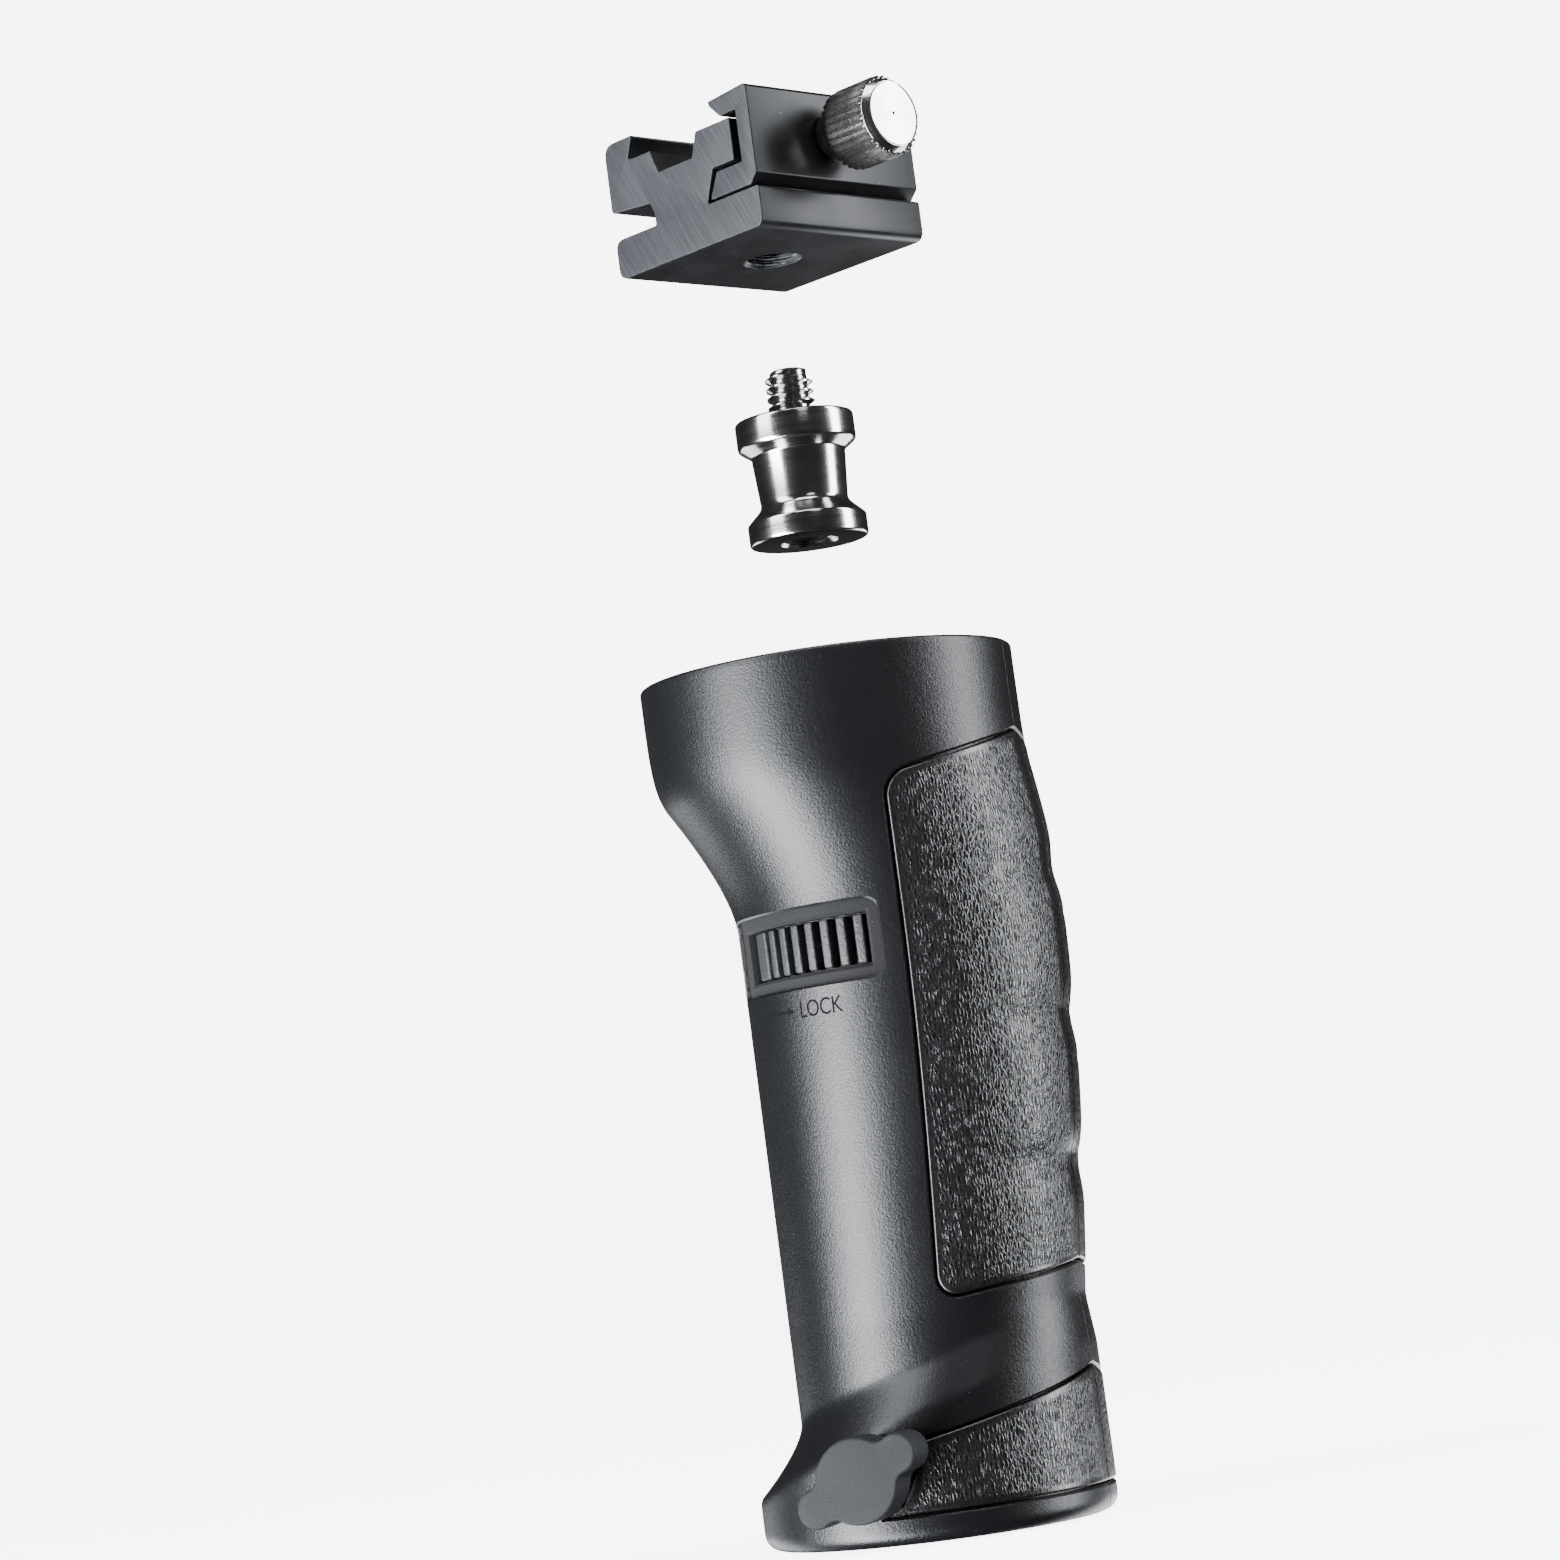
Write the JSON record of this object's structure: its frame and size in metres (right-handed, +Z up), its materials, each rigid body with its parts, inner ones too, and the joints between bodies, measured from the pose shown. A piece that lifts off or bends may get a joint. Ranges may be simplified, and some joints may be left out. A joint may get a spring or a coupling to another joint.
{
  "type": "camera flash bracket",
  "caption": "Hand grip for a flash: a locking socket with a removable spigot, a cold-shoe adapter with a screwed jaw, and a clamped stand socket in the foot.",
  "frame": {"origin": "middle of the bracket's box, on the face that the handle stands on", "axes": "+Z up the handle, +X to the finger grooves, -Y to the side of the wing knob and the lock slide"},
  "size_m": [0.052, 0.0524, 0.1876],
  "materials": {
    "shell": "fine spark-eroded satin",
    "grip": "leather grain",
    "liner": "plain moulded",
    "slide": "moulded ribs",
    "knob": "matt grey",
    "alloy": "black anodised, sawn ends",
    "spigot": "polished dark nickel",
    "nickel": "knurled nickel plate",
    "steel": "zinc plated",
    "brass": "turned"
  },
  "bodies": {
    "handle": {"shell_left": "shell", "shell_right": "shell", "grip_pad_left": "grip", "grip_pad_right": "grip", "foot_pad_left": "grip", "foot_pad_right": "grip", "top_cap": "liner", "base_plate": "liner", "spigot_socket": "liner", "stand_socket": "liner", "clamp_nut": "brass", "case_screw_1": "steel", "case_screw_2": "steel", "case_screw_3": "steel", "case_screw_4": "steel"},
    "lock_ring": {"lock_ring": "slide"},
    "clamp_shoe": {"clamp_shoe": "steel"},
    "clamp_pad": {"clamp_pad": "brass"},
    "wing_screw": {"wing_screw": "steel", "wing_knob": "knob"},
    "spigot": {"spigot": "spigot"},
    "shoe": {"shoe_base": "alloy"},
    "jaw": {"shoe_jaw": "alloy"},
    "thumb_screw": {"thumb_screw": "nickel"}
  },
  "joints": [
    {"name": "lock_turn", "type": "hinge", "parent": "handle", "child": "lock_ring", "pos_m": [0.00459, 0.00217, 0.076], "axis": [0, 0, 1], "range_deg": [-6, 0]},
    {"name": "clamp_shoe_slide", "type": "slide", "parent": "handle", "child": "clamp_shoe", "axis": [-1, 0, 0], "range_m": [0, 0.00045]},
    {"name": "spigot_slide", "type": "slide", "parent": "handle", "child": "spigot", "axis": [0, 0, 1], "range_m": [-0.0337, 0]},
    {"name": "adapter_slide", "type": "slide", "parent": "spigot", "child": "shoe", "axis": [0, 0, 1], "range_m": [-0.0213, 0]},
    {"name": "jaw_slide", "type": "slide", "parent": "shoe", "child": "jaw", "axis": [0.9026, -0.4305, 0], "range_m": [-0.00017, 0.0014]},
    {"name": "thumb_screw_turn", "type": "hinge", "parent": "jaw", "child": "thumb_screw", "pos_m": [0.01195, -0.00396, 0.1814], "axis": [0.9026, -0.4305, 0], "range_deg": [-90, 720]},
    {"name": "clamp_pad_slide", "type": "slide", "parent": "handle", "child": "clamp_pad", "axis": [0, -1, 0], "range_m": [-0.0003, 0.0025]},
    {"name": "wing_screw_turn", "type": "hinge", "parent": "clamp_pad", "child": "wing_screw", "pos_m": [-0.00091, -0.02623, 0.009], "axis": [0, -1, 0], "range_deg": [-108, 900]}
  ],
  "couplings": [
    {"joint": "clamp_shoe_slide", "follows": "lock_turn", "m_per_rad": -0.0042972},
    {"joint": "thumb_screw_turn", "follows": "jaw_slide", "rad_per_m": 8976},
    {"joint": "wing_screw_turn", "follows": "clamp_pad_slide", "rad_per_m": 6283.2}
  ]
}
